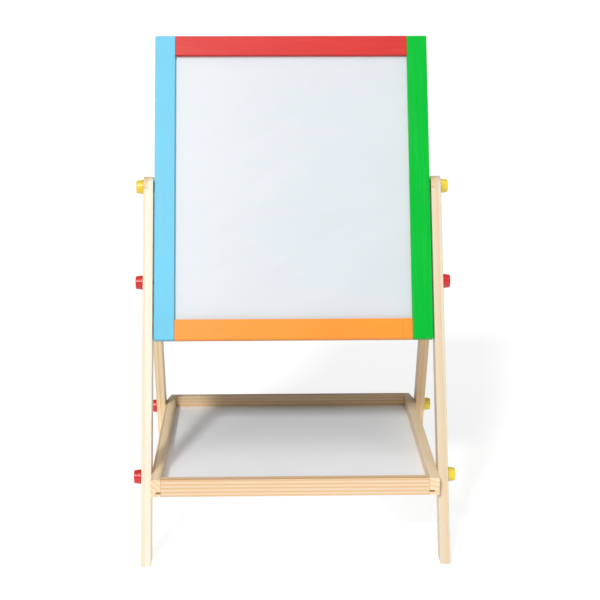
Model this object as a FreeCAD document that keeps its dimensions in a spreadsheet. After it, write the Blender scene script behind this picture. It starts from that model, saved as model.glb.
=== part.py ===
import FreeCAD, Part
import Sketcher
import os

# Kids easel, in millimetres.  X runs left to right, Y runs from the front to the back, Z is up.
# The origin is on the floor, midway between the four feet and straight below the board's pivot.

SIZES = [
    ("board_width", 340, "Outside width of the board's frame"),
    ("board_height", 384, "Outside height of the board's frame"),
    ("board_thick", 15, "Thickness of the frame's bars"),
    ("bar_width", 25, "Width of the frame's bars, seen from the front"),
    ("panel_thick", 2, "Thickness of the whiteboard and of the chalkboard"),
    ("panel_inset", 6, "How far both boards reach into the frame's grooves"),
    ("panel_play", 0.4, "Gap between a board's edge and the bottom of its groove"),
    ("leg_thick", 12, "Thickness of a leg, left to right"),
    ("leg_depth", 25, "Width of a leg, seen from the side"),
    ("leg_reach", 457.5, "From the pivot to the floor, along a leg"),
    ("leg_lean", 23, "Lean of every leg and of the board from upright, in degrees"),
    ("board_gap", 1.2, "Gap between the board's frame and a leg"),
    ("washer_thick", 1, "Thickness of the spacer washer on each pivot bolt"),
    ("washer_width", 14, "Outside diameter of the spacer washer"),
    ("clamp_reach", 120, "From the pivot to the clamp bolt, along a front leg"),
    ("dimple_depth", 1, "Depth of the seats the clamp bolts press into"),
    ("tray_foot", 101.5, "From the floor to a tray bolt, along a leg"),
    ("tray_bolt_rise", 14.5, "Height of the tray bolts above the underside of the tray"),
    ("tray_overhang", 31, "From a tray bolt to the nearer end of the tray"),
    ("tray_rail_height", 21, "Height of the tray's rails"),
    ("tray_rail_thick", 12, "Thickness of the tray's rails"),
    ("tray_panel_thick", 3, "Thickness of the tray's floor panel"),
    ("tray_panel_rise", 3, "Height of the floor panel above the underside of the tray"),
    ("tray_groove", 6, "Depth of the groove that holds the floor panel"),
    ("tray_corner_cut", 5, "How far the tray's rear corners are cut back at the sides"),
    ("tray_corner_length", 27, "Length of the cut at a rear corner, along the side rail"),
    ("bolt_width", 5, "Diameter of the knob bolts"),
    ("bolt_play", 0.1, "Gap all round a bolt in its hole"),
    ("bolt_head_width", 8, "Width across flats of a bolt's head inside its knob"),
    ("bolt_head_height", 3.5, "Height of a bolt's head inside its knob"),
    ("bolt_tip", 0.8, "Chamfer at the tip of a bolt"),
    ("insert_wall", 0.9, "Wall thickness of a threaded insert"),
    ("insert_cover", 2, "Wood left between an insert and the tray's inner side"),
    ("knob_width", 18, "Diameter of a knob where it meets the leg"),
    ("knob_tip_width", 15.5, "Diameter of a knob at its outer end"),
    ("knob_length", 9, "Length of a knob"),
    ("knob_round", 1, "Rounding of a knob's rims"),
    ("knob_floor", 2, "Plastic between a knob's inner face and its bolt's head"),
    ("turn_gap", 0.2, "Gap between a turning part and the face beside it"),
    ("dowel_width", 5, "Diameter of the dowels at the corners of frame and tray"),
    ("dowel_length", 24, "Length of a dowel"),
    ("dowel_cover", 1.5, "Wood left between a tray dowel and the cut of a rear corner"),
    ("dowel_spacing", 8, "Distance between the two dowels of a frame corner"),
    ("edge_round", 0.8, "Softening of the wooden edges"),
]

doc = FreeCAD.newDocument("kids_easel")
sheet = doc.addObject("Spreadsheet::Sheet", "sizes")
for row, (alias, value, meaning) in enumerate(SIZES, start=1):
    sheet.set("A%d" % row, meaning)
    sheet.set("B%d" % row, str(value))
    sheet.setAlias("B%d" % row, alias)
doc.recompute()

# Distances that follow from the sheet, as expressions.
PIVOT_HEIGHT = "sizes.leg_reach * cos(sizes.leg_lean)"
LEG_FACE = "(sizes.board_width / 2 + sizes.board_gap)"
LEG_OUTER = "(sizes.board_width / 2 + sizes.board_gap + sizes.leg_thick)"
RAIL_LENGTH = "(sizes.board_width - 2 * sizes.bar_width)"
FRAME_GROOVE = "(2 * sizes.panel_thick)"
PANEL_WIDTH = "(sizes.board_width - 2 * (sizes.bar_width - sizes.panel_inset + sizes.panel_play))"
PANEL_HEIGHT = "(sizes.board_height - 2 * (sizes.bar_width - sizes.panel_inset + sizes.panel_play))"
TRAY_REACH = "(sizes.leg_reach - sizes.tray_foot)"
TRAY_BOLT_OUT = "(%s * sin(sizes.leg_lean))" % TRAY_REACH
TRAY_BOLT_HEIGHT = "(sizes.tray_foot * cos(sizes.leg_lean))"
TRAY_BOTTOM = "(%s - sizes.tray_bolt_rise)" % TRAY_BOLT_HEIGHT
TRAY_DEPTH = "(2 * (%s + sizes.tray_overhang))" % TRAY_BOLT_OUT
BOLT_HOLE = "(sizes.bolt_width + 2 * sizes.bolt_play)"
INSERT_WIDTH = "(%s + 2 * sizes.insert_wall)" % BOLT_HOLE
INSERT_LENGTH = "(sizes.tray_rail_thick - sizes.insert_cover)"
SIDE_RAIL_INNER = "(%s - sizes.tray_rail_thick)" % LEG_FACE
TRAY_INSIDE = "(2 * %s)" % SIDE_RAIL_INNER
TRAY_DOWEL_SEAT = "(sizes.tray_rail_thick - sizes.tray_corner_cut - sizes.dowel_cover)"
TRAY_DOWEL_REST = "(sizes.dowel_length - %s)" % TRAY_DOWEL_SEAT
TRAY_DOWEL_OUT = "((%s - sizes.tray_rail_thick) / 2)" % TRAY_DEPTH
TRAY_DOWEL_RISE = "((sizes.tray_rail_height + sizes.tray_panel_rise + sizes.tray_panel_thick) / 2)"
BOARD_LEAN = "-sizes.leg_lean"
REAR_LEAN = "sizes.leg_lean"

ALONG_X = FreeCAD.Placement(FreeCAD.Vector(), FreeCAD.Rotation(FreeCAD.Vector(0, 1, 0), 90))
LEFT, RIGHT = -1, 1
SIDES = [("left", LEFT), ("right", RIGHT)]

nodes = []


def bind(item, rules):
    """Ties properties of an object to expressions."""
    for name, rule in rules.items():
        item.setExpression(name, rule)


def move(item, spot):
    """Ties an object's position to three expressions."""
    bind(item, dict(zip(("Placement.Base.x", "Placement.Base.y", "Placement.Base.z"), spot)))


def node(item):
    """Marks an object as one of the easel's sub-parts, to be written to its own file."""
    item.Label = item.Name
    nodes.append(item)
    return item


def lean_on_pivot(item, lean, across="0"):
    """Places a sub-part drawn about the pivot: leaned about X, at the pivot's height."""
    item.Placement = FreeCAD.Placement(
        FreeCAD.Vector(), FreeCAD.Rotation(FreeCAD.Vector(1, 0, 0), 1)
    )
    bind(item, {"Placement.Rotation.Angle": lean})
    move(item, (across, "0", PIVOT_HEIGHT))


def block(body, kind, name, size, corner):
    """Adds (Additive) or takes away (Subtractive) a box; size and corner are expressions."""
    item = body.newObject("PartDesign::%sBox" % kind, name)
    bind(item, dict(zip(("Length", "Width", "Height"), size)))
    move(item, corner)
    return item


def rod(body, kind, name, width, length, start):
    """Adds or takes away a round bar that runs from start along X."""
    item = body.newObject("PartDesign::%sCylinder" % kind, name)
    item.Placement = ALONG_X
    bind(item, {"Radius": "(%s) / 2" % width, "Height": length})
    move(item, start)
    return item


def soften(body, feature, radius="sizes.edge_round"):
    """Rounds every edge of a feature."""
    item = body.newObject("PartDesign::Fillet", feature.Name + "_soft")
    item.Base = (feature, [""])
    item.UseAllEdges = True
    bind(item, {"Radius": radius})
    return item


def wooden_bar(name, size, corner):
    """Starts a sub-part as a straight bar with softened edges."""
    body = node(doc.addObject("PartDesign::Body", name))
    soften(body, block(body, "Additive", name + "_bar", size, corner))
    return body


def copies(name, items):
    """One sub-part made of several separate, identical solids."""
    group = node(doc.addObject("Part::Compound", name))
    group.Links = items
    return group


def loose_rod(name, width, length, start):
    """A round bar along X, outside any body."""
    item = doc.addObject("Part::Cylinder", name)
    item.Placement = ALONG_X
    bind(item, {"Radius": "(%s) / 2" % width, "Height": length})
    move(item, start)
    return item


def sleeve(name, width, length, start):
    """A tube along X that a bolt passes through."""
    tube = doc.addObject("Part::Cut", name)
    tube.Base = loose_rod(name + "_outside", width, length, start)
    tube.Tool = loose_rod(name + "_bore", BOLT_HOLE, length, start)
    return tube


def signed(side, rule):
    """The expression on the right-hand side, its negative on the left."""
    return rule if side == RIGHT else "-(%s)" % rule


def inward_start(side, face, depth):
    """Where a hole along X starts so that it goes depth into a part from its outer face."""
    return "%s - %s" % (face, depth) if side == RIGHT else "-(%s)" % face


# --- The board: a frame of four painted bars round a whiteboard and a chalkboard ---


def dowel_heights():
    """Heights of the eight dowels' centres: two in each bar's end, at the top and the bottom."""
    middle = "(sizes.board_height - sizes.bar_width + sizes.panel_inset) / 2"
    return [
        "%s(%s %s sizes.dowel_spacing / 2)" % (end, middle, step)
        for end in ("", "-")
        for step in ("+", "-")
    ]


def frame_stile(name, side):
    """An upright bar of the frame, with its groove, dowel holes, insert hole and clamp seats."""
    left_edge = "-sizes.board_width / 2" if side == LEFT else "sizes.board_width / 2 - sizes.bar_width"
    body = wooden_bar(
        name,
        ("sizes.bar_width", "sizes.board_thick", "sizes.board_height"),
        (left_edge, "-sizes.board_thick / 2", "-sizes.board_height / 2"),
    )
    inner_face = "%s / 2" % RAIL_LENGTH
    inner_start = inner_face if side == RIGHT else "-(%s + sizes.panel_inset)" % inner_face
    block(
        body, "Subtractive", name + "_groove",
        ("sizes.panel_inset", FRAME_GROOVE, PANEL_HEIGHT + " + 2 * sizes.panel_play"),
        (inner_start, "-sizes.panel_thick", "-%s / 2 - sizes.panel_play" % PANEL_HEIGHT),
    )
    dowel_start = inner_face if side == RIGHT else "-(%s + sizes.dowel_length / 2)" % inner_face
    for number, height in enumerate(dowel_heights(), start=1):
        rod(
            body, "Subtractive", "%s_dowel_hole_%d" % (name, number),
            "sizes.dowel_width", "sizes.dowel_length / 2", (dowel_start, "0", height),
        )
    outer_face = "sizes.board_width / 2"
    rod(
        body, "Subtractive", name + "_insert_hole", INSERT_WIDTH, INSERT_LENGTH,
        (inward_start(side, outer_face, INSERT_LENGTH), "0", "0"),
    )
    for number, height in enumerate(("-sizes.clamp_reach", "sizes.clamp_reach"), start=1):
        rod(
            body, "Subtractive", "%s_clamp_seat_%d" % (name, number),
            BOLT_HOLE, "sizes.dimple_depth",
            (inward_start(side, outer_face, "sizes.dimple_depth"), "0", height),
        )
    return body


def frame_rail(name, end):
    """A cross bar of the frame; end is 1 for the top bar and -1 for the bottom bar."""
    low = "sizes.board_height / 2 - sizes.bar_width" if end == 1 else "-sizes.board_height / 2"
    body = wooden_bar(
        name,
        (RAIL_LENGTH, "sizes.board_thick", "sizes.bar_width"),
        ("-%s / 2" % RAIL_LENGTH, "-sizes.board_thick / 2", low),
    )
    groove_low = (
        "sizes.board_height / 2 - sizes.bar_width"
        if end == 1
        else "-(sizes.board_height / 2 - sizes.bar_width + sizes.panel_inset)"
    )
    block(
        body, "Subtractive", name + "_groove",
        (RAIL_LENGTH, FRAME_GROOVE, "sizes.panel_inset"),
        ("-%s / 2" % RAIL_LENGTH, "-sizes.panel_thick", groove_low),
    )
    heights = dowel_heights()[:2] if end == 1 else dowel_heights()[2:]
    starts = ("-%s / 2" % RAIL_LENGTH, "%s / 2 - sizes.dowel_length / 2" % RAIL_LENGTH)
    for number, (start, height) in enumerate([(s, h) for s in starts for h in heights], start=1):
        rod(
            body, "Subtractive", "%s_dowel_hole_%d" % (name, number),
            "sizes.dowel_width", "sizes.dowel_length / 2", (start, "0", height),
        )
    return body


def drawing_panel(name, front_face):
    """One of the two thin boards, side by side in the frame's grooves."""
    body = node(doc.addObject("PartDesign::Body", name))
    block(
        body, "Additive", name + "_sheet",
        (PANEL_WIDTH, "sizes.panel_thick", PANEL_HEIGHT),
        ("-%s / 2" % PANEL_WIDTH, front_face, "-%s / 2" % PANEL_HEIGHT),
    )
    return body


def build_board():
    """The board that turns on the two pivot bolts."""
    parts = [frame_stile("stile_left", LEFT), frame_stile("stile_right", RIGHT)]
    parts += [frame_rail("rail_top", 1), frame_rail("rail_bottom", -1)]
    parts.append(drawing_panel("whiteboard_panel", "-sizes.panel_thick"))
    parts.append(drawing_panel("chalkboard_panel", "0"))

    dowels = []
    for side_name, side in SIDES:
        for number, height in enumerate(dowel_heights(), start=1):
            middle = signed(side, "%s / 2" % RAIL_LENGTH)
            dowels.append(
                loose_rod(
                    "frame_dowel_%s_%d" % (side_name, number), "sizes.dowel_width",
                    "sizes.dowel_length", (middle + " - sizes.dowel_length / 2", "0", height),
                )
            )
    parts.append(copies("frame_dowels", dowels))

    inserts = [
        sleeve(
            "pivot_insert_" + side_name, INSERT_WIDTH, INSERT_LENGTH,
            (inward_start(side, "sizes.board_width / 2", INSERT_LENGTH), "0", "0"),
        )
        for side_name, side in SIDES
    ]
    parts.append(copies("pivot_inserts", inserts))
    for part in parts:
        lean_on_pivot(part, BOARD_LEAN)


# --- The legs: two crossed pairs, halved together at the top ---


def pin_corner(sketch, line, corner, name):
    """Fixes a line's first end at two expressions measured from the sketch's origin."""
    for direction, rule in zip(("X", "Y"), corner):
        index = sketch.addConstraint(Sketcher.Constraint("Distance" + direction, -1, 1, line, 1, 1.0))
        sketch.renameConstraint(index, name + direction.lower())
        sketch.setExpression("Constraints.%s%s" % (name, direction.lower()), rule)


def sketch_on(body, plane_name, name):
    """An empty sketch on one of the body's own planes: YZ is a side view and XY a plan."""
    sketch = body.newObject("Sketcher::SketchObject", name)
    plane = [item for item in body.Origin.OriginFeatures if item.Role == plane_name + "_Plane"][0]
    sketch.AttachmentSupport = (plane, [""])
    sketch.MapMode = "FlatFace"
    return sketch


def polygon(sketch, guesses, corners):
    """Closes straight lines through the corners; the guesses only say roughly where they lie."""
    count = len(corners)
    points = [FreeCAD.Vector(*guess) for guess in guesses]
    for number in range(count):
        sketch.addGeometry(Part.LineSegment(points[number], points[(number + 1) % count]), False)
    for number in range(count):
        following = (number + 1) % count
        sketch.addConstraint(Sketcher.Constraint("Coincident", number, 2, following, 1))
    for number, corner in enumerate(corners):
        pin_corner(sketch, number, corner, "corner%d" % number)


def leg(name, side, front):
    """A leg with a rounded top, a foot cut level with the floor and half its top cut away.

    The outer edge is the one that faces away from the leg it crosses.  A front leg gives up the
    left half of its thickness at the top, and a rear leg the right half, so that the two fit
    together in the thickness of one.
    """
    half = "sizes.leg_depth / 2"
    outer, inner = ("-" + half, half) if front else (half, "-" + half)
    outer_guess = -12 if front else 12
    inner_guess = -outer_guess
    body = node(doc.addObject("PartDesign::Body", name))

    profile = sketch_on(body, "YZ", name + "_side")
    outer_foot = "-(sizes.leg_reach + %s * tan(sizes.leg_lean))" % half
    inner_foot = "-(sizes.leg_reach - %s * tan(sizes.leg_lean))" % half
    polygon(
        profile,
        [(outer_guess, 0), (outer_guess, -450), (inner_guess, -450), (inner_guess, 0)],
        [(outer, "0"), (outer, outer_foot), (inner, inner_foot), (inner, "0")],
    )
    bar = body.newObject("PartDesign::Pad", name + "_bar")
    bar.Profile = profile
    bind(bar, {"Length": "sizes.leg_thick"})
    top = rod(body, "Additive", name + "_top", "sizes.leg_depth", "sizes.leg_thick", ("0", "0", "0"))
    soften(body, top)

    lap = sketch_on(body, "YZ", name + "_lap_side")
    if not front:
        lap.setExpression("AttachmentOffset.Base.z", "sizes.leg_thick / 2")
    outer_shoulder = "-(%s) * tan(sizes.leg_lean)" % half
    inner_shoulder = "-(%s) / tan(sizes.leg_lean)" % half
    polygon(
        lap,
        [(outer_guess, -5), (inner_guess, -29), (inner_guess, 25), (outer_guess, 25)],
        [
            (outer, outer_shoulder),
            (inner, inner_shoulder),
            (inner, "sizes.leg_depth"),
            (outer, "sizes.leg_depth"),
        ],
    )
    notch = body.newObject("PartDesign::Pocket", name + "_lap")
    notch.Profile = lap
    notch.Reversed = True
    bind(notch, {"Length": "sizes.leg_thick / 2"})

    holes = [("pivot", BOLT_HOLE, "0"), ("tray", BOLT_HOLE, "-" + TRAY_REACH)]
    if front:
        holes.append(("clamp", INSERT_WIDTH, "-sizes.clamp_reach"))
    for purpose, width, height in holes:
        rod(
            body, "Subtractive", "%s_%s_hole" % (name, purpose),
            width, "sizes.leg_thick", ("0", "0", height),
        )
    lean = BOARD_LEAN if front else REAR_LEAN
    lean_on_pivot(body, lean, LEG_FACE if side == RIGHT else "-" + LEG_OUTER)
    return body


def build_legs():
    """Four legs, the threaded inserts of the clamp bolts and the spacer washers."""
    for side_name, side in SIDES:
        leg("front_leg_" + side_name, side, True)
        leg("rear_leg_" + side_name, side, False)
    inserts = [
        sleeve(
            "clamp_insert_" + side_name, INSERT_WIDTH, "sizes.leg_thick",
            (LEG_FACE if side == RIGHT else "-" + LEG_OUTER, "0", "-sizes.clamp_reach"),
        )
        for side_name, side in SIDES
    ]
    lean_on_pivot(copies("clamp_inserts", inserts), BOARD_LEAN)
    washers = [
        sleeve(
            "pivot_washer_" + side_name, "sizes.washer_width", "sizes.washer_thick",
            (inward_start(side, LEG_FACE, "sizes.washer_thick"), "0", "0"),
        )
        for side_name, side in SIDES
    ]
    lean_on_pivot(copies("pivot_washers", washers), BOARD_LEAN)


# --- The tray: four rails round a thin floor panel, bolted between the legs ---

ENDS = [("front", "-"), ("rear", "")]


def stand_on(item, height):
    """Places a sub-part drawn from the tray's underside."""
    move(item, ("0", "0", height))


def tray_side_bar(name, side):
    """The plain wood of a side rail, with its outer rear corner cut back."""
    body = node(doc.addObject("PartDesign::Body", name))
    outer = signed(side, LEG_FACE)
    inner = signed(side, SIDE_RAIL_INNER)
    cut_back = signed(side, "(%s - sizes.tray_corner_cut)" % LEG_FACE)
    rear = "%s / 2" % TRAY_DEPTH
    plan = sketch_on(body, "XY", name + "_plan")
    polygon(
        plan,
        [(side * x, y) for x, y in ((171, -170), (171, 143), (166, 170), (159, 170), (159, -170))],
        [
            (outer, "-" + rear),
            (outer, rear + " - sizes.tray_corner_length"),
            (cut_back, rear),
            (inner, rear),
            (inner, "-" + rear),
        ],
    )
    bar = body.newObject("PartDesign::Pad", name + "_bar")
    bar.Profile = plan
    bind(bar, {"Length": "sizes.tray_rail_height"})
    soften(body, bar)
    return body


def tray_side_rail(name, side):
    """A rail along the side of the tray; its groove runs out at both ends."""
    inner_start = signed(side, SIDE_RAIL_INNER)
    body = tray_side_bar(name, side)
    block(
        body, "Subtractive", name + "_groove",
        ("sizes.tray_groove", TRAY_DEPTH, "sizes.tray_panel_thick"),
        (
            inner_start if side == RIGHT else inner_start + " - sizes.tray_groove",
            "-%s / 2" % TRAY_DEPTH,
            "sizes.tray_panel_rise",
        ),
    )
    for end_name, end in ENDS:
        rod(
            body, "Subtractive", "%s_%s_insert_hole" % (name, end_name),
            INSERT_WIDTH, INSERT_LENGTH,
            (
                inward_start(side, LEG_FACE, INSERT_LENGTH),
                end + TRAY_BOLT_OUT,
                "sizes.tray_bolt_rise",
            ),
        )
        rod(
            body, "Subtractive", "%s_%s_dowel_hole" % (name, end_name),
            "sizes.dowel_width", TRAY_DOWEL_SEAT,
            (
                inner_start if side == RIGHT else "%s - %s" % (inner_start, TRAY_DOWEL_SEAT),
                end + TRAY_DOWEL_OUT,
                TRAY_DOWEL_RISE,
            ),
        )
    stand_on(body, TRAY_BOTTOM)
    return body


def tray_cross_rail(name, end):
    """The front or rear rail of the tray, fitted between the side rails."""
    outer_face = "(%s / 2)" % TRAY_DEPTH
    body = wooden_bar(
        name,
        (TRAY_INSIDE, "sizes.tray_rail_thick", "sizes.tray_rail_height"),
        (
            "-%s / 2" % TRAY_INSIDE,
            "-" + outer_face if end == "-" else outer_face + " - sizes.tray_rail_thick",
            "0",
        ),
    )
    inner_face = "(%s - sizes.tray_rail_thick)" % outer_face
    block(
        body, "Subtractive", name + "_groove",
        (TRAY_INSIDE, "sizes.tray_groove", "sizes.tray_panel_thick"),
        (
            "-%s / 2" % TRAY_INSIDE,
            "-(%s + sizes.tray_groove)" % inner_face if end == "-" else inner_face,
            "sizes.tray_panel_rise",
        ),
    )
    starts = ("-%s / 2" % TRAY_INSIDE, "%s / 2 - %s" % (TRAY_INSIDE, TRAY_DOWEL_REST))
    for number, start in enumerate(starts, start=1):
        rod(
            body, "Subtractive", "%s_dowel_hole_%d" % (name, number),
            "sizes.dowel_width", TRAY_DOWEL_REST,
            (start, end + TRAY_DOWEL_OUT, TRAY_DOWEL_RISE),
        )
    stand_on(body, TRAY_BOTTOM)
    return body


def build_tray():
    """The tray with its dowels and the threaded inserts of its four bolts."""
    for side_name, side in SIDES:
        tray_side_rail("tray_side_" + side_name, side)
    for end_name, end in ENDS:
        tray_cross_rail("tray_rail_" + end_name, end)

    floor = node(doc.addObject("PartDesign::Body", "tray_panel"))
    width = "(%s + 2 * (sizes.tray_groove - sizes.panel_play))" % TRAY_INSIDE
    depth = "(%s - 2 * (sizes.tray_rail_thick - sizes.tray_groove + sizes.panel_play))" % TRAY_DEPTH
    block(
        floor, "Additive", "tray_panel_sheet",
        (width, depth, "sizes.tray_panel_thick"),
        ("-%s / 2" % width, "-%s / 2" % depth, "sizes.tray_panel_rise"),
    )
    stand_on(floor, TRAY_BOTTOM)

    inserts = []
    dowels = []
    for side_name, side in SIDES:
        for end_name, end in ENDS:
            corner = "_%s_%s" % (end_name, side_name)
            inserts.append(
                sleeve(
                    "tray_insert" + corner, INSERT_WIDTH, INSERT_LENGTH,
                    (
                        inward_start(side, LEG_FACE, INSERT_LENGTH),
                        end + TRAY_BOLT_OUT,
                        "sizes.tray_bolt_rise",
                    ),
                )
            )
            rest = TRAY_DOWEL_REST if side == RIGHT else TRAY_DOWEL_SEAT
            dowels.append(
                loose_rod(
                    "tray_dowel" + corner, "sizes.dowel_width", "sizes.dowel_length",
                    (
                        "%s - %s" % (signed(side, SIDE_RAIL_INNER), rest),
                        end + TRAY_DOWEL_OUT,
                        TRAY_DOWEL_RISE,
                    ),
                )
            )
    stand_on(copies("tray_inserts", inserts), TRAY_BOTTOM)
    stand_on(copies("tray_dowels", dowels), TRAY_BOTTOM)


# --- The knobs: each moulded round the head of its bolt, drawn pointing along +X ---


def knob(name):
    """A tapered plastic knob with a socket for the head and shank of its bolt."""
    body = node(doc.addObject("PartDesign::Body", name))
    cap = body.newObject("PartDesign::AdditiveCone", name + "_cap")
    cap.Placement = ALONG_X
    bind(
        cap,
        {
            "Radius1": "sizes.knob_width / 2",
            "Radius2": "sizes.knob_tip_width / 2",
            "Height": "sizes.knob_length",
            "Placement.Base.x": "sizes.turn_gap",
        },
    )
    soften(body, cap, "sizes.knob_round")
    rod(
        body, "Subtractive", name + "_shank_hole", "sizes.bolt_width", "sizes.knob_floor",
        ("sizes.turn_gap", "0", "0"),
    )
    bolt_head(body, "Subtractive", name + "_head_socket")
    return body


def bolt_head(body, kind, name):
    """The six-sided head of a bolt, or the socket it sits in."""
    head = body.newObject("PartDesign::%sPrism" % kind, name)
    head.Polygon = 6
    head.Placement = ALONG_X
    bind(
        head,
        {
            "Circumradius": "sizes.bolt_head_width / 2 / cos(30)",
            "Height": "sizes.bolt_head_height",
            "Placement.Base.x": "sizes.turn_gap + sizes.knob_floor",
        },
    )
    return head


def bolt(name, reach):
    """A bolt whose shank reaches inward from the leg's outer face, ending in a chamfered tip."""
    body = node(doc.addObject("PartDesign::Body", name))
    rod(
        body, "Additive", name + "_shank", "sizes.bolt_width",
        "%s + sizes.turn_gap + sizes.knob_floor - sizes.bolt_tip" % reach,
        ("sizes.bolt_tip - (%s)" % reach, "0", "0"),
    )
    tip = body.newObject("PartDesign::AdditiveCone", name + "_tip")
    tip.Placement = ALONG_X
    bind(
        tip,
        {
            "Radius1": "sizes.bolt_width / 2 - sizes.bolt_tip",
            "Radius2": "sizes.bolt_width / 2",
            "Height": "sizes.bolt_tip",
            "Placement.Base.x": "-(%s)" % reach,
        },
    )
    bolt_head(body, "Additive", name + "_head")
    return body


def build_knobs():
    """Eight knobs with their bolts: two pivots, two clamps and four tray bolts."""
    clamp_spot = (
        "-sizes.clamp_reach * sin(sizes.leg_lean)",
        "%s - sizes.clamp_reach * cos(sizes.leg_lean)" % PIVOT_HEIGHT,
    )
    tray_reach = "(sizes.leg_thick + %s)" % INSERT_LENGTH
    uses = [
        ("pivot", ("0", PIVOT_HEIGHT), "(sizes.leg_thick + sizes.board_gap + %s)" % INSERT_LENGTH),
        ("clamp", clamp_spot, "(sizes.leg_thick + sizes.board_gap - sizes.turn_gap)"),
        ("tray_front", ("-" + TRAY_BOLT_OUT, TRAY_BOLT_HEIGHT), tray_reach),
        ("tray_rear", (TRAY_BOLT_OUT, TRAY_BOLT_HEIGHT), tray_reach),
    ]
    for side_name, side in SIDES:
        facing = FreeCAD.Rotation(FreeCAD.Vector(0, 0, 1), 0 if side == RIGHT else 180)
        for use, (out, height), reach in uses:
            for part in (
                knob("knob_%s_%s" % (use, side_name)),
                bolt("bolt_%s_%s" % (use, side_name), reach),
            ):
                part.Placement = FreeCAD.Placement(FreeCAD.Vector(), facing)
                move(part, (signed(side, LEG_OUTER), out, height))


def find_faults():
    """Names every object that failed to build and every node whose shape is not sound."""
    faults = [item.Name for item in doc.Objects if {"Invalid", "Error"} & set(item.State)]
    for item in nodes:
        if item.Shape.isNull() or not item.Shape.isValid() or not item.Shape.Solids:
            faults.append(item.Label)
    return faults


build_board()
build_legs()
build_tray()
build_knobs()
doc.recompute()
problems = find_faults()
if problems:
    raise RuntimeError("these did not build: " + ", ".join(problems))

os.makedirs("parts", exist_ok=True)
for item in nodes:
    item.Shape.exportStep("parts/%s.step" % item.Label)
print("wrote %d parts" % len(nodes))
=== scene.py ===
import math

import bpy
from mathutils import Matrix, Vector

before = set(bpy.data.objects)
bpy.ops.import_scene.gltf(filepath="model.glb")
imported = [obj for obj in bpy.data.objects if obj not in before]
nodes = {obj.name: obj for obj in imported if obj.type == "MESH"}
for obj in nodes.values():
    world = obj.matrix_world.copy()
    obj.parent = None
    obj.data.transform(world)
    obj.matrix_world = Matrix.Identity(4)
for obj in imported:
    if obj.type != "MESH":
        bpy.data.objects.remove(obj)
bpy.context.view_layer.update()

# Kids easel: painted board frame, pine legs and tray, plastic knobs.  Lengths are metres and the
# frame's axes are used throughout: X to the right, Y to the back, Z up, origin on the floor.
# Colours are linear red, green and blue from 0 to 1.

LEG_LEAN = math.radians(23.0)

# Paints and plastics.
BLUE = (0.10, 0.50, 0.71)
GREEN = (0.0, 0.47, 0.035)
RED = (0.61, 0.014, 0.01)
ORANGE = (0.91, 0.28, 0.015)
KNOB_YELLOW = (0.86, 0.66, 0.04)
KNOB_RED = (0.68, 0.015, 0.012)
WASHER_BLACK = (0.03, 0.03, 0.035)

# Woods: the pine of each leg, the pine of the tray's rails, and what tints them. Some carry painted
# light and shade: the front left leg's pine is painted lighter, the right legs' pines darker, and
# the tray's side rails' pine lighter.
# Painted light: the front left leg's pine is made paler for the strong light that falls on it from
# the left.
LEFT_LEG_PINE_PAINTED_LIGHT = (0.81, 0.74, 0.61)
# The right front leg's pine: a more neutral tone, and darker as painted shade for the weaker light
# on the right.
RIGHT_LEG_PINE_PAINTED_SHADE = (0.68, 0.63, 0.49)
PINE = (0.85, 0.71, 0.47)
# Painted shade: the rear right leg's pine is made darker for the shade that falls on its inner
# face.
REAR_RIGHT_LEG_PINE_PAINTED_SHADE = (0.73, 0.56, 0.35)
# Painted light: the tray's side rails' pine is made lighter for the light on their top faces.
TRAY_SIDE_PINE_PAINTED_LIGHT = (0.94, 0.80, 0.57)
TRAY_END_PINE = (0.78, 0.63, 0.45)
LATE_WOOD = (0.70, 0.42, 0.20)
WORN_PINE = (0.92, 0.83, 0.68)
# End grain is darker, as real end grain is, and this darkening is also painted shade on the legs'
# rounded ends.
END_GRAIN_AND_SHADE = (0.62, 0.40, 0.20)
BEECH = (0.66, 0.47, 0.29)

# Writing surfaces and the tray's floor, each with the tone it varies towards.
WHITEBOARD = (0.59, 0.63, 0.66)
WHITEBOARD_SHADE = (0.57, 0.61, 0.64)
WHITEBOARD_SPECK = (0.55, 0.6, 0.62)
CHALKBOARD = (0.012, 0.016, 0.016)
CHALK = (0.55, 0.57, 0.57)
HARDBOARD = (0.95, 0.97, 1.0)
HARDBOARD_SHADE = (0.92, 0.95, 0.98)
HARDBOARD_PORE = (0.55, 0.55, 0.56)

# Metals.
STEEL = (0.62, 0.62, 0.60)
BRASS = (0.72, 0.52, 0.25)

# The studio: which way each light travels, its strength, and its spread in degrees.
KEY_LIGHT = ((0.43, 1.30, -1.0), 0.53, 7)
TOP_LIGHT = ((0.05, 0.6, -1.0), 0.31, 50)
SKY_LIGHT = 0.27
FLOOR_SIZE = 80
FLOOR_GREY = (0.41, 0.41, 0.41)
FLOOR_SHADE = (0.38, 0.38, 0.38)
FLOOR_GLOW = 0.70

CAMERA_PLACE = (-0.0353, -1.8526, 0.7294)
CAMERA_LENS = 90.7
CAMERA_TILT = math.radians(13.743)
CAMERA_YAW = math.radians(1.385)

# Where the colour form of the Mix node keeps its sockets; their names repeat in its other forms.
MIX_FACTOR, MIX_FIRST, MIX_SECOND, MIX_RESULT = 0, 6, 7, 2


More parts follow.
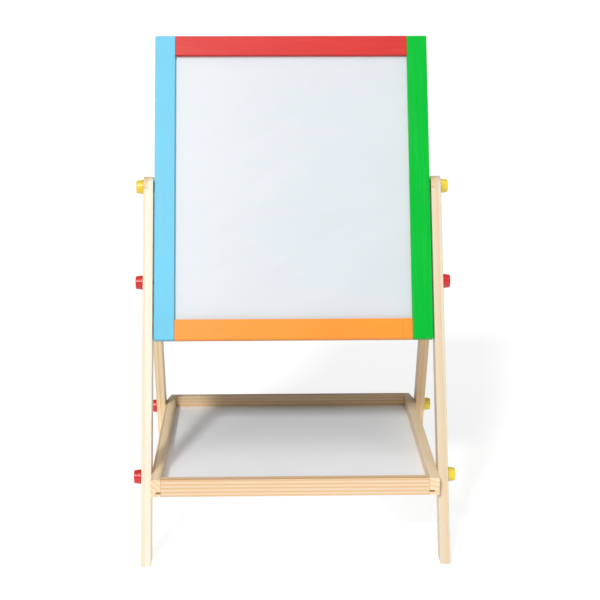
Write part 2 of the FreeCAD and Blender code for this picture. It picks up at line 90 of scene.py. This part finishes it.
class Recipe:
    """One material being put together: its node tree, main shader and object coordinates."""

    def __init__(self, name):
        self.material = bpy.data.materials.new(name)
        self.material.use_nodes = True
        self.tree = self.material.node_tree
        self.tree.nodes.clear()
        self.shader = self.add("ShaderNodeBsdfPrincipled")
        output = self.add("ShaderNodeOutputMaterial")
        self.join(self.shader.outputs["BSDF"], output.inputs["Surface"])
        self.coordinates = self.add("ShaderNodeTexCoord").outputs["Object"]

    def add(self, kind, inputs=None, **settings):
        """A new node; settings are its properties and inputs its sockets, as values or links."""
        item = self.tree.nodes.new(kind)
        for key, value in settings.items():
            setattr(item, key, value)
        for key, value in (inputs or {}).items():
            self.fill(item.inputs[key], value)
        return item

    def join(self, source, target):
        """Links an output to an input."""
        self.tree.links.new(source, target)

    def fill(self, socket, value):
        """Gives an input its link or its value."""
        if isinstance(value, bpy.types.NodeSocket):
            self.join(value, socket)
        else:
            socket.default_value = value

    def placed(self, turn=(0, 0, 0), scale=(1, 1, 1), shift=(0, 0, 0)):
        """The object's coordinates, shifted, then turned, then scaled."""
        turned = self.add(
            "ShaderNodeMapping", {"Vector": self.coordinates, "Rotation": turn, "Location": shift}
        )
        scaled = self.add("ShaderNodeMapping", {"Vector": turned.outputs["Vector"], "Scale": scale})
        return scaled.outputs["Vector"]

    def noise(self, vector, scale, detail=3.0, roughness=0.5, distortion=0.0):
        """Cloudy noise from 0 to 1; its features are about 1/scale across."""
        item = self.add(
            "ShaderNodeTexNoise",
            {
                "Vector": vector,
                "Scale": scale,
                "Detail": detail,
                "Roughness": roughness,
                "Distortion": distortion,
            },
        )
        return item.outputs["Fac"]

    def ramp(self, factor, low, high, from_value=0.0, to_value=1.0):
        """Rescales a factor from the range low to high, clamped."""
        item = self.add(
            "ShaderNodeMapRange",
            {
                "Value": factor,
                "From Min": low,
                "From Max": high,
                "To Min": from_value,
                "To Max": to_value,
            },
        )
        return item.outputs["Result"]

    def mix(self, factor, first, second):
        """Mixes two colours, each a link or three numbers."""
        item = self.add("ShaderNodeMix", data_type="RGBA")
        self.fill(item.inputs[MIX_FACTOR], factor)
        for position, color in ((MIX_FIRST, first), (MIX_SECOND, second)):
            self.fill(item.inputs[position], (*color, 1.0) if isinstance(color, tuple) else color)
        return item.outputs[MIX_RESULT]

    def maths(self, operation, first, second):
        """Works out one sum from two links or numbers."""
        return self.add("ShaderNodeMath", {0: first, 1: second}, operation=operation).outputs[0]

    def edges(self, radius):
        """Close to 1 on worn edges and 0 on flat faces."""
        rounded = self.add("ShaderNodeBevel", {"Radius": radius}, samples=4)
        flat = self.add("ShaderNodeNewGeometry")
        likeness = self.add(
            "ShaderNodeVectorMath",
            {0: rounded.outputs["Normal"], 1: flat.outputs["Normal"]},
            operation="DOT_PRODUCT",
        )
        return self.ramp(likeness.outputs["Value"], 0.98, 0.86)

    def bump(self, height, strength, distance):
        """Raises the shader's surface where the height is large."""
        item = self.add(
            "ShaderNodeBump", {"Height": height, "Strength": strength, "Distance": distance}
        )
        self.join(item.outputs["Normal"], self.shader.inputs["Normal"])

    def finish(self, color, roughness, **constants):
        """Sets the shader's colour and roughness, each a link or a value, and its constants."""
        self.fill(self.shader.inputs["Base Color"], color)
        self.fill(self.shader.inputs["Roughness"], roughness)
        for key, value in constants.items():
            self.shader.inputs[key.replace("_", " ")].default_value = value
        return self.material


def grain_turn(direction):
    """Turns coordinates so that a piece's grain runs along Z."""
    return {
        "front": (LEG_LEAN, 0, 0),
        "rear": (-LEG_LEAN, 0, 0),
        "across": (0, math.radians(90), 0),
        "deep": (math.radians(90), 0, 0),
    }[direction]


def end_grain_and_shade_mask(recipe, turn):
    """1 where a surface cuts square across the grain and 0 where it runs along it."""
    facing = recipe.add("ShaderNodeTexCoord").outputs["Normal"]
    turned = recipe.add("ShaderNodeMapping", {"Vector": facing, "Rotation": turn})
    along = recipe.add("ShaderNodeSeparateXYZ", {"Vector": turned.outputs["Vector"]}).outputs["Z"]
    return recipe.ramp(recipe.maths("ABSOLUTE", along, 0.0), 0.55, 0.95)


def pine(name, direction, pith, light=PINE, dark=LATE_WOOD, contrast=1.0, spacing=0.005):
    """Clear-lacquered pine: growth rings round a pith that lies off the piece, and fine fibres.

    The pith is given by how far it lies from the origin across the grain, after the turn that
    brings the grain along Z.  The spacing is that of the rings.
    """
    recipe = Recipe(name)
    turn = grain_turn(direction)
    log = recipe.placed(turn, (1, 1, 0.03), (-pith[0], -pith[1], 0))
    rings = recipe.add(
        "ShaderNodeTexWave",
        {
            "Vector": log,
            "Scale": math.pi / (10 * spacing),
            "Distortion": 3.0,
            "Detail": 2.0,
            "Detail Scale": 0.45,
            "Detail Roughness": 0.5,
        },
        wave_type="RINGS",
        rings_direction="Z",
        wave_profile="SAW",
    ).outputs["Fac"]
    fibres = recipe.noise(recipe.placed(turn, (1, 1, 0.02)), 1100, 2.0)
    clouds = recipe.noise(log, 40, 2.0)
    ends_and_shade = end_grain_and_shade_mask(recipe, turn)
    late = recipe.maths("POWER", rings, 2.2)
    tone = recipe.maths("MULTIPLY", late, recipe.ramp(clouds, 0.3, 0.7, 0.55 * contrast, contrast))
    color = recipe.mix(recipe.ramp(clouds, 0.3, 0.75, 0.0, 0.2), light, dark)
    color = recipe.mix(tone, color, dark)
    color = recipe.mix(recipe.ramp(fibres, 0.4, 0.8, 0.0, 0.16), color, dark)
    color = recipe.mix(recipe.maths("MULTIPLY", recipe.edges(0.001), 0.3), color, WORN_PINE)
    # Darker end grain: partly the real darker end grain, partly painted shade on the legs' rounded
    # ends.
    color = recipe.mix(recipe.maths("MULTIPLY", ends_and_shade, 0.28), color, END_GRAIN_AND_SHADE)
    recipe.bump(recipe.maths("ADD", late, recipe.maths("MULTIPLY", fibres, 0.6)), 0.1, 0.0003)
    roughness = recipe.ramp(clouds, 0.2, 0.8, 0.40, 0.52)
    return recipe.finish(color, roughness, Specular_IOR_Level=0.4)


def painted_wood(name, paint, direction, seed, gloss=0.33):
    """Satin paint over wood: faint grain telegraphing through and paler, worn edges."""
    recipe = Recipe(name)
    shift = (0.29 * seed, 0.17 * seed, 0.41 * seed)
    streaks = recipe.noise(recipe.placed(grain_turn(direction), (1, 1, 0.03), shift), 420, 3.0)
    clouds = recipe.noise(recipe.placed(shift=shift), 14, 3.0)
    shade = tuple(channel * 0.93 for channel in paint)
    tint = tuple(channel + (1 - channel) * 0.06 for channel in paint)
    color = recipe.mix(recipe.ramp(clouds, 0.3, 0.7), shade, paint)
    color = recipe.mix(recipe.ramp(streaks, 0.45, 0.75, 0.0, 0.2), color, tint)
    color = recipe.mix(recipe.maths("MULTIPLY", recipe.edges(0.001), 0.5), color, tint)
    recipe.bump(streaks, 0.06, 0.0003)
    roughness = recipe.ramp(clouds, 0.2, 0.8, 0.30, 0.36)
    return recipe.finish(color, roughness, Specular_IOR_Level=gloss)


def whiteboard_surface():
    """Dry-wipe enamel: glossy, faintly cool white, with wipe marks in its sheen."""
    recipe = Recipe("whiteboard")
    wipes = recipe.noise(recipe.placed((0.3, 0.5, 0.2), (1, 1, 3)), 9, 4.0, 0.6, 0.8)
    specks = recipe.noise(recipe.placed(), 260, 2.0)
    color = recipe.mix(recipe.ramp(wipes, 0.3, 0.7), WHITEBOARD_SHADE, WHITEBOARD)
    color = recipe.mix(recipe.ramp(specks, 0.62, 0.8, 0.0, 0.05), color, WHITEBOARD_SPECK)
    recipe.bump(wipes, 0.02, 0.0004)
    return recipe.finish(color, recipe.ramp(wipes, 0.25, 0.75, 0.31, 0.35))


def chalkboard_surface():
    """Matt black board paint with a veil of wiped chalk."""
    recipe = Recipe("chalkboard")
    smears = recipe.noise(recipe.placed(scale=(0.5, 1, 1)), 9, 3.0, 0.5, 0.3)
    strokes = recipe.noise(recipe.placed((0.0, 0.5, 0.0), (0.12, 1, 1)), 60, 3.0, 0.6)
    grit = recipe.noise(recipe.placed(), 1400, 2.0)
    veil = recipe.maths("MULTIPLY", recipe.ramp(smears, 0.35, 0.7, 0.25, 1.0), strokes)
    dusty = recipe.mix(recipe.ramp(veil, 0.15, 0.65, 0.0, 0.12), CHALKBOARD, CHALK)
    color = recipe.mix(recipe.ramp(grit, 0.45, 0.8, 0.0, 0.05), dusty, CHALK)
    recipe.bump(grit, 0.25, 0.0002)
    roughness = recipe.ramp(smears, 0.3, 0.7, 0.72, 0.9)
    return recipe.finish(color, roughness, Specular_IOR_Level=0.25)


def white_hardboard():
    """The tray's floor: thin white-faced hardboard, slightly dulled."""
    recipe = Recipe("tray_white")
    clouds = recipe.noise(recipe.placed(), 12, 4.0)
    pores = recipe.noise(recipe.placed(), 900, 2.0)
    color = recipe.mix(recipe.ramp(clouds, 0.3, 0.75), HARDBOARD_SHADE, HARDBOARD)
    color = recipe.mix(recipe.ramp(pores, 0.55, 0.8, 0.0, 0.12), color, HARDBOARD_PORE)
    recipe.bump(pores, 0.08, 0.0002)
    return recipe.finish(color, recipe.ramp(clouds, 0.2, 0.8, 0.36, 0.5))


def knob_plastic(name, base):
    """Glossy moulded plastic with a slight orange-peel and handling marks."""
    recipe = Recipe(name)
    peel = recipe.noise(recipe.placed(), 700, 2.0)
    clouds = recipe.noise(recipe.placed(), 90, 3.0)
    deep = tuple(channel * 0.80 for channel in base)
    color = recipe.mix(recipe.ramp(clouds, 0.3, 0.7), deep, base)
    pale = tuple(channel + (1 - channel) * 0.2 for channel in base)
    color = recipe.mix(recipe.maths("MULTIPLY", recipe.edges(0.0008), 0.4), color, pale)
    recipe.bump(peel, 0.06, 0.0002)
    roughness = recipe.ramp(clouds, 0.25, 0.75, 0.2, 0.32)
    return recipe.finish(color, roughness, Coat_Weight=0.2, Coat_Roughness=0.15)


def metal(name, base, rough):
    """Plated metal with fine turning marks round the X axis."""
    recipe = Recipe(name)
    marks = recipe.noise(recipe.placed(scale=(6, 1, 1)), 900, 2.0)
    worn = tuple(channel * 0.7 for channel in base)
    color = recipe.mix(recipe.ramp(marks, 0.3, 0.7), worn, base)
    recipe.bump(marks, 0.1, 0.0001)
    roughness = recipe.ramp(marks, 0.2, 0.8, rough, rough + 0.15)
    return recipe.finish(color, roughness, Metallic=1.0)


def nylon(name, base):
    """Dull moulded nylon."""
    recipe = Recipe(name)
    mottle = recipe.noise(recipe.placed(), 600, 3.0)
    lighter = tuple(min(1.0, channel * 1.5) for channel in base)
    color = recipe.mix(recipe.ramp(mottle, 0.3, 0.7), base, lighter)
    recipe.bump(mottle, 0.1, 0.0001)
    return recipe.finish(color, recipe.ramp(mottle, 0.2, 0.8, 0.5, 0.65))


def dress(names, material):
    """Gives CAD nodes their material."""
    for name in names:
        for slot in nodes[name].material_slots:
            slot.material = material


def with_prefix(start):
    """The CAD nodes whose names start with the word."""
    return sorted(name for name in nodes if name.startswith(start))


def dress_board():
    """Four painted bars, each with its own gloss, round the two writing surfaces."""
    dress(["stile_left"], painted_wood("paint_blue", BLUE, "front", 1))
    dress(["stile_right"], painted_wood("paint_green", GREEN, "front", 2, gloss=0.05))
    dress(["rail_top"], painted_wood("paint_red", RED, "across", 3, gloss=0.25))
    dress(["rail_bottom"], painted_wood("paint_orange", ORANGE, "across", 4, gloss=0.28))
    dress(["whiteboard_panel"], whiteboard_surface())
    dress(["chalkboard_panel"], chalkboard_surface())


def dress_wood():
    """Each piece is cut from its own part of the log, so that no two have the same grain.
    The legs' and the tray's side rails' colours also carry painted light and shade.
    """
    # The front left leg's pine is painted lighter, and the right legs' pines darker: painted light
    # and shade.
    for name, direction, pith, light, contrast in (
        ("front_leg_left", "front", (-0.24, 0.05), LEFT_LEG_PINE_PAINTED_LIGHT, 0.55),
        ("front_leg_right", "front", (0.12, 0.05), RIGHT_LEG_PINE_PAINTED_SHADE, 1.0),
        ("rear_leg_left", "rear", (0.120, 0.05), PINE, 1.0),
        ("rear_leg_right", "rear", (0.126, 0.05), REAR_RIGHT_LEG_PINE_PAINTED_SHADE, 1.0),
    ):
        dress([name], pine("pine_" + name, direction, pith, light, contrast=contrast))
    # The side rails' pine is painted lighter for the light on their tops: painted light.
    for side, pith in (("left", (-0.205, -0.045)), ("right", (0.150, -0.020))):
        wood = pine("pine_tray_" + side, "deep", pith, TRAY_SIDE_PINE_PAINTED_LIGHT, spacing=0.006)
        dress(["tray_side_" + side], wood)
    for end, pith in (("front", (-0.02, -0.13)), ("rear", (-0.03, 0.20))):
        wood = pine("pine_rail_" + end, "across", pith, TRAY_END_PINE, contrast=1.9, spacing=0.0045)
        dress(["tray_rail_" + end], wood)
    dress(["frame_dowels", "tray_dowels"], pine("beech", "across", (0.1, 0.1), BEECH))
    dress(["tray_panel"], white_hardboard())


def dress_hardware():
    """Knobs, bolts, threaded inserts and spacer washers."""
    yellow = knob_plastic("knob_yellow", KNOB_YELLOW)
    red = knob_plastic("knob_red", KNOB_RED)
    dress(with_prefix("knob_pivot") + ["knob_tray_front_right", "knob_tray_rear_right"], yellow)
    dress(with_prefix("knob_clamp") + ["knob_tray_front_left", "knob_tray_rear_left"], red)
    dress(with_prefix("bolt_"), metal("bolt_steel", STEEL, 0.25))
    dress(["pivot_inserts", "clamp_inserts", "tray_inserts"], metal("brass", BRASS, 0.3))
    dress(["pivot_washers"], nylon("washer_nylon", WASHER_BLACK))


def distant_light(name, travel, strength, spread):
    """A light from far away: strength is the brightness it gives to a white face square to it."""
    data = bpy.data.lights.new(name, "SUN")
    data.energy = strength * math.pi
    data.angle = math.radians(spread)
    lamp = bpy.data.objects.new(name, data)
    lamp.rotation_euler = Vector(travel).to_track_quat("-Z", "Y").to_euler()
    bpy.context.scene.collection.objects.link(lamp)


def build_floor():
    """A plain pale floor with a glow of its own, so that it is white wherever light reaches it."""
    bpy.ops.mesh.primitive_plane_add(size=FLOOR_SIZE, location=(0, 0, 0))
    floor = bpy.context.object
    floor.name = "studio_floor"
    recipe = Recipe("studio_floor")
    clouds = recipe.noise(recipe.placed(), 1.5, 2.0)
    color = recipe.mix(recipe.ramp(clouds, 0.3, 0.7), FLOOR_SHADE, FLOOR_GREY)
    recipe.finish(color, 0.8, Emission_Color=(1, 1, 1, 1), Emission_Strength=FLOOR_GLOW)
    floor.data.materials.append(recipe.material)


def build_sky():
    """A dim white light from all round that is itself seen as plain white."""
    world = bpy.data.worlds.new("studio")
    world.use_nodes = True
    tree = world.node_tree
    sky = tree.nodes["Background"]
    sky.inputs["Color"].default_value = (1, 1, 1, 1)
    brightness = tree.nodes.new("ShaderNodeMapRange")
    brightness.inputs["To Min"].default_value = SKY_LIGHT
    brightness.inputs["To Max"].default_value = 1.0
    paths = tree.nodes.new("ShaderNodeLightPath")
    tree.links.new(paths.outputs["Is Camera Ray"], brightness.inputs["Value"])
    tree.links.new(brightness.outputs["Result"], sky.inputs["Strength"])
    bpy.context.scene.world = world


def build_camera():
    """A camera a little left of the middle, looking slightly down at the board."""
    data = bpy.data.cameras.new("camera")
    data.sensor_width = 36
    data.lens = CAMERA_LENS
    camera = bpy.data.objects.new("camera", data)
    camera.location = CAMERA_PLACE
    camera.rotation_euler = (math.radians(90) - CAMERA_TILT, 0, -CAMERA_YAW)
    bpy.context.scene.collection.objects.link(camera)
    bpy.context.scene.camera = camera
    bpy.context.scene.view_settings.view_transform = "Standard"


dress_board()
dress_wood()
dress_hardware()
build_floor()
build_sky()
distant_light("key", *KEY_LIGHT)
distant_light("overhead", *TOP_LIGHT)
build_camera()
